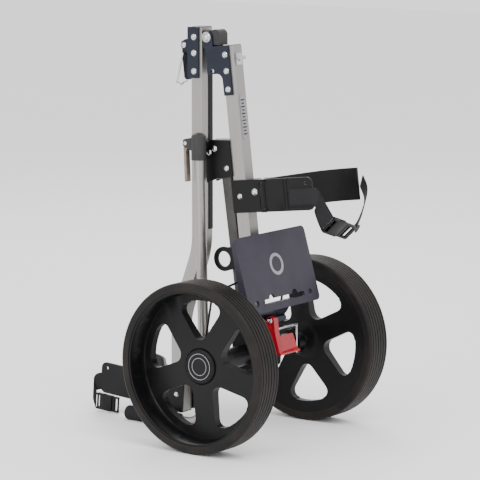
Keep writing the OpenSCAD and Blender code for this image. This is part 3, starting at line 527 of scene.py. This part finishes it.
# ---------- buckles ----------
def buckle_socket(bm, place):
    """Open frame of the lower buckle, with x from its webbing bar to its mouth."""
    add_pair(bm, (8.0, -14.8, 1.6), (33.6, 14.8, 3.8), 1.0, place, Z)
    add_pair(bm, (0.4, 11.2, -3.6), (14.0, 14.9, 3.6), 1.2, place, Y)
    add_pair(bm, (26.0, 11.2, -3.7), (33.8, 14.9, 3.7), 1.2, place, Y)
    add_block(bm, (8.0, -3.0, -3.7), (30.0, 3.0, 3.9), 1.2, place)
    add_rod(bm, (1.8, -14.0, 0.0), (1.8, 14.0, 0.0), 1.7, place)


def buckle_plug(bm, place):
    """Prongs, root, side bars and webbing bars of the lower buckle's other half."""
    add_pair(bm, (14.6, 10.8, -1.2), (36.0, 13.6, 1.2), 0.6, place, Y)
    add_block(bm, (34.4, -13.4, -3.4), (40.5, 13.4, 3.4), 1.2, place)
    add_pair(bm, (38.0, 10.0, -3.2), (59.8, 13.4, 3.2), 1.2, place, Y)
    add_block(bm, (46.0, -12.0, -1.4), (48.8, 12.0, 1.8), 0.6, place)
    add_rod(bm, (58.0, -12.4, 0.0), (58.0, 12.4, 0.0), 1.7, place)


def hanging_buckle(bm, place):
    """Fastened upper buckle, with x through it, y along it from its webbing bar and z across it."""
    add_pair(bm, (2.0, 6.0, -12.9), (3.8, 30.0, 12.9), 0.8, place, X)
    add_pair(bm, (-3.7, -1.6, 9.7), (3.7, 12.0, 13.1), 1.0, place, Z)
    add_pair(bm, (-3.7, 24.0, 9.7), (3.7, 30.4, 13.1), 1.0, place, Z)
    add_pair(bm, (-2.4, 18.0, 10.0), (2.4, 43.0, 12.8), 1.0, place, Z)
    add_block(bm, (-3.8, 6.0, -2.7), (3.9, 27.0, 2.7), 1.2, place)
    add_block(bm, (-2.6, 30.6, -12.5), (2.6, 35.4, 12.5), 1.2, place)
    for bar in (0.0, 41.6):
        add_rod(bm, (0.0, bar, -11.8), (0.0, bar, 11.7), 1.6, place)


# ---------- operators ----------
class PUSHCART_OT_finishes(bpy.types.Operator):
    """Make every finish and give it to the CAD parts that stay on show"""

    bl_idname = "pushcart.finishes"
    bl_label = "Finishes"

    def execute(self, context):
        scene = context.scene
        for slot, material in finishes(scene.push_cart_sizes, scene.push_cart_colours).items():
            scene["finish_" + slot] = material.name
        for name, node in frame["nodes"].items():
            node.data.materials.clear()
            node.data.materials.append(finish_of(context, SLOT_OF[name]))
        return {"FINISHED"}


class PUSHCART_OT_mouldings(bpy.types.Operator):
    """Build the plastic and metal parts with softened edges"""

    bl_idname = "pushcart.mouldings"
    bl_label = "Softened Parts"

    def execute(self, context):
        for node, width in {**SOFT_PLASTIC, **SOFT_METAL}.items():
            mesh = mesh_of(cad_copy(node), node + "_finished")
            piece = add_piece(context, node + "_finished", mesh, BODY_OF[node], SLOT_OF[node])
            soften(piece, width * MM)
            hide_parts(node)
        return {"FINISHED"}


class PUSHCART_OT_lower_strap(bpy.types.Operator):
    """Build the two halves of the lower strap as webbing"""

    bl_idname = "pushcart.lower_strap"
    bl_label = "Lower Strap"

    def execute(self, context):
        place = lower_bracket()
        upright = (0.0, 0.0, 1.0)
        add_strap(context, "lower_webbing_left", "lower_strap_left", [
            ((-17.6, -84.0, 20.0), upright),
            ((-17.4, -105.0, 20.0), upright),
            ((-17.4, -124.0, 20.0), upright),
            ((-13.5, -131.0, 16.5), (0.03, -0.22, 0.97)),
            ((-8.0, -128.5, 8.0), (0.1, -0.5, 0.86)),
            ((0.0, -129.6, -9.0), (0.17, -0.65, 0.74)),
            ((6.6, -132.0, -23.6), BUCKLE_ACROSS),
        ], place)
        slant = (0.5, 0.58, -0.64)
        add_strap(context, "lower_webbing_right", "lower_strap_right", [
            ((65.6, -132.0, -43.9), BUCKLE_ACROSS),
            ((78.0, -129.8, -43.0), (0.4, -0.2, 0.3)),
            ((92.0, -127.0, -36.0), slant),
            ((122.0, -122.0, -12.0), slant),
            ((138.0, -118.0, 9.0), slant),
            ((133.0, -115.5, 29.0), slant),
        ], place)
        return {"FINISHED"}


class PUSHCART_OT_lower_buckle(bpy.types.Operator):
    """Build the fastened side-release buckle of the lower strap"""

    bl_idname = "pushcart.lower_buckle"
    bl_label = "Lower Buckle"

    def execute(self, context):
        place = buckle_place()
        bm = bmesh.new()
        buckle_socket(bm, place)
        piece = add_piece(context, "lower_buckle_female", mesh_of(bm, "lower_buckle_female"), "lower_left_arm",
                          "black_plastic")
        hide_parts("lower_buckle_socket")
        bm = bmesh.new()
        buckle_plug(bm, place)
        piece = add_piece(context, "lower_buckle_male", mesh_of(bm, "lower_buckle_male"), "lower_right_arm",
                          "black_plastic")
        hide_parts("lower_buckle_plug")
        return {"FINISHED"}


class PUSHCART_OT_upper_strap(bpy.types.Operator):
    """Build the upper strap's webbing loop and its hanging buckle"""

    bl_idname = "pushcart.upper_strap"
    bl_label = "Upper Strap"

    def execute(self, context):
        place = upper_bracket()
        upright = (0.0, 0.0, 1.0)
        add_strap(context, "upper_webbing", "upper_strap", [
            ((10.6, -116.0, 20.0), upright),
            ((10.5, -130.0, 19.0), upright),
            ((10.6, -146.0, 16.5), upright),
            ((13.4, -156.8, 10.5), upright),
            ((15.6, -156.0, -2.0), upright),
            ((14.4, -151.4, -15.0), upright),
        ], place)
        bm = bmesh.new()
        hanging_buckle(bm, place @ Matrix.Translation(Vector(UPPER_BUCKLE_AT) * MM))
        piece = add_piece(context, "upper_buckle_finished", mesh_of(bm, "upper_buckle_finished"),
                          "upper_left_arm", "black_plastic")
        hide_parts("upper_buckle")
        return {"FINISHED"}


class PUSHCART_OT_grip(bpy.types.Operator):
    """Build the handle grip with its ribs and rolled ends"""

    bl_idname = "pushcart.grip"
    bl_label = "Handle Grip"

    def execute(self, context):
        sizes = sizes_of(context)
        low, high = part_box("handle_grip")
        length = high[1] - low[1]
        radius = (high[0] - low[0]) / 2
        centre_x, centre_z = (low[0] + high[0]) / 2, high[2] - radius
        plain_end, roll_reach, roll_depth = 0.012, 0.003, 0.0015
        flat = low[2] + 0.0001  # the grip rests on its flat underside
        bm = bmesh.new()
        bmesh.ops.create_cone(bm, cap_ends=True, segments=48, radius1=radius, radius2=radius, depth=length)
        long_edges = [e for e in bm.edges if abs(e.verts[0].co.z - e.verts[1].co.z) > length / 2]
        bmesh.ops.subdivide_edges(bm, edges=long_edges, cuts=120, use_grid_fill=False)
        for v in bm.verts:
            along = v.co.z + length / 2
            to_end = min(along, length - along)
            groove = 0.5 + 0.5 * math.cos(2 * math.pi * along / sizes.rib_pitch) if to_end > plain_end else 0.0
            roll = max(0.0, 1 - to_end / roll_reach) ** 2
            shrink = 1 - (sizes.rib_depth * groove + roll_depth * roll) / radius
            x, z = v.co.x * shrink, v.co.y * shrink
            v.co = Vector((centre_x + x, low[1] + along, max(centre_z + z, flat)))
        piece = add_piece(context, "handle_grip_finished", mesh_of(bm, "handle_grip_finished"), "handle",
                          "grip_foam", 40.0)
        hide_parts("handle_grip")
        return {"FINISHED"}


class PUSHCART_OT_badges(bpy.types.Operator):
    """Build the raised lines of the shaft badge and the rings of the hub caps"""

    bl_idname = "pushcart.badges"
    bl_label = "Badges"

    def execute(self, context):
        low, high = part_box("shaft_badge")
        middle = Vector([(low[i] + high[i]) / 2 for i in range(3)])
        place = Matrix.Translation(middle) @ Matrix.Rotation(-LEAN, 4, "X")
        bar_pitch, bar_half = 5.2, 0.9
        bm = bmesh.new()
        for k in range(-5, 6):
            reach = 4.6 if k % 2 else 3.0
            at = k * bar_pitch
            add_block(bm, (-reach, -0.75, at - bar_half), (reach, 0.0, at + bar_half), 0.25, place)
        add_piece(context, "shaft_badge_lines", mesh_of(bm, "shaft_badge_lines"), "chassis", "black_plastic")
        ring_width, ring_height, proud = 0.0011, 0.0005, 0.0001
        turn = Matrix.Rotation(math.radians(90), 4, "Y")
        for side, name in ((-1, "left"), (1, "right")):
            low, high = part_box("hub_cap_" + name)
            face = low[0] if side < 0 else high[0]
            centre = Vector((face + side * proud, (low[1] + high[1]) / 2, (low[2] + high[2]) / 2))
            bm = bmesh.new()
            for radius in (0.0125, 0.019):
                made = bmesh.ops.create_circle(bm, cap_ends=False, segments=64, radius=radius)["verts"]
                edges = list({e for v in made for e in v.link_edges})
                outer = bmesh.ops.extrude_edge_only(bm, edges=edges)["geom"]
                for v in (g for g in outer if isinstance(g, bmesh.types.BMVert)):
                    v.co *= (radius + ring_width) / radius
            for v in bm.verts:
                v.co = centre + turn @ v.co
            piece = add_piece(context, "hub_rings_" + name, mesh_of(bm, "hub_rings_" + name), name + "_wheel",
                              "emblem_grey")
            thick = piece.modifiers.new("thickness", "SOLIDIFY")
            thick.thickness = ring_height
            thick.offset = 0.0
        return {"FINISHED"}


class PUSHCART_OT_stage(bpy.types.Operator):
    """Set the pale floor, the soft lamps and the camera"""

    bl_idname = "pushcart.stage"
    bl_label = "Studio"

    def execute(self, context):
        scene = context.scene
        colours = scene.push_cart_colours
        bm = bmesh.new()
        bmesh.ops.create_grid(bm, x_segments=1, y_segments=1, size=9.0)
        mesh = bpy.data.meshes.new("studio_floor")
        bm.to_mesh(mesh)
        bm.free()
        floor = bpy.data.objects.new("studio_floor", mesh)
        scene.collection.objects.link(floor)
        f = Finish("studio_floor")
        cloud = f.noise(f.place.outputs["Object"], 3.0, 3.0)
        tone = f.mix(cloud, rgba(colours.floor, 0.985), rgba(colours.floor, 1.01))
        mesh.materials.append(f.surface(colour=tone, rough=0.6))
        world = bpy.data.worlds.new("studio")
        scene.world = world
        world.use_nodes = True
        sky = world.node_tree.nodes["Background"]
        sky.inputs["Color"].default_value = (1.0, 1.0, 1.0, 1.0)
        sky.inputs["Strength"].default_value = 1.5
        far = scene.push_cart_sizes.lamp_distance
        for name, where, size, power in LAMPS:
            lamp = bpy.data.lights.new(name, "AREA")
            lamp.size = size
            lamp.energy = power
            place = bpy.data.objects.new(name, lamp)
            scene.collection.objects.link(place)
            place.location = Vector(where) * far + Vector(LAMP_AIM)
            look = Vector(LAMP_AIM) - place.location
            place.rotation_euler = look.to_track_quat("-Z", "Y").to_euler()
        camera = bpy.data.objects.new("camera", bpy.data.cameras.new("camera"))
        scene.collection.objects.link(camera)
        camera.location = CAMERA_AT
        look = Vector(CAMERA_AIM) - camera.location
        camera.rotation_euler = look.to_track_quat("-Z", "Y").to_euler()
        camera.data.sensor_width = 36.0
        camera.data.lens = CAMERA_LENS
        scene.camera = camera
        return {"FINISHED"}


class PUSHCART_PT_panel(bpy.types.Panel):
    """Sidebar panel with the sizes, the colours and one button for each group"""

    bl_label = "Golf Push Cart"
    bl_idname = "PUSHCART_PT_panel"
    bl_space_type = "VIEW_3D"
    bl_region_type = "UI"
    bl_category = "Push Cart"

    def draw(self, context):
        for group in (context.scene.push_cart_sizes, context.scene.push_cart_colours):
            for name in group.__annotations__:
                self.layout.prop(group, name)
        for operator in OPERATORS:
            self.layout.operator(operator.bl_idname)


OPERATORS = (
    PUSHCART_OT_finishes, PUSHCART_OT_mouldings, PUSHCART_OT_lower_strap, PUSHCART_OT_lower_buckle,
    PUSHCART_OT_upper_strap, PUSHCART_OT_grip, PUSHCART_OT_badges, PUSHCART_OT_stage,
)
CLASSES = (CartSizes, CartColours) + OPERATORS + (PUSHCART_PT_panel,)


def register():
    for cls in CLASSES:
        bpy.utils.register_class(cls)
    bpy.types.Scene.push_cart_sizes = bpy.props.PointerProperty(type=CartSizes)
    bpy.types.Scene.push_cart_colours = bpy.props.PointerProperty(type=CartColours)


def unregister():
    del bpy.types.Scene.push_cart_colours
    del bpy.types.Scene.push_cart_sizes
    for cls in reversed(CLASSES):
        bpy.utils.unregister_class(cls)


def main():
    register()
    bpy.ops.pushcart.finishes()
    bpy.ops.pushcart.mouldings()
    bpy.ops.pushcart.lower_strap()
    bpy.ops.pushcart.lower_buckle()
    bpy.ops.pushcart.upper_strap()
    bpy.ops.pushcart.grip()
    bpy.ops.pushcart.badges()
    bpy.ops.pushcart.stage()


if __name__ == "__main__":
    main()
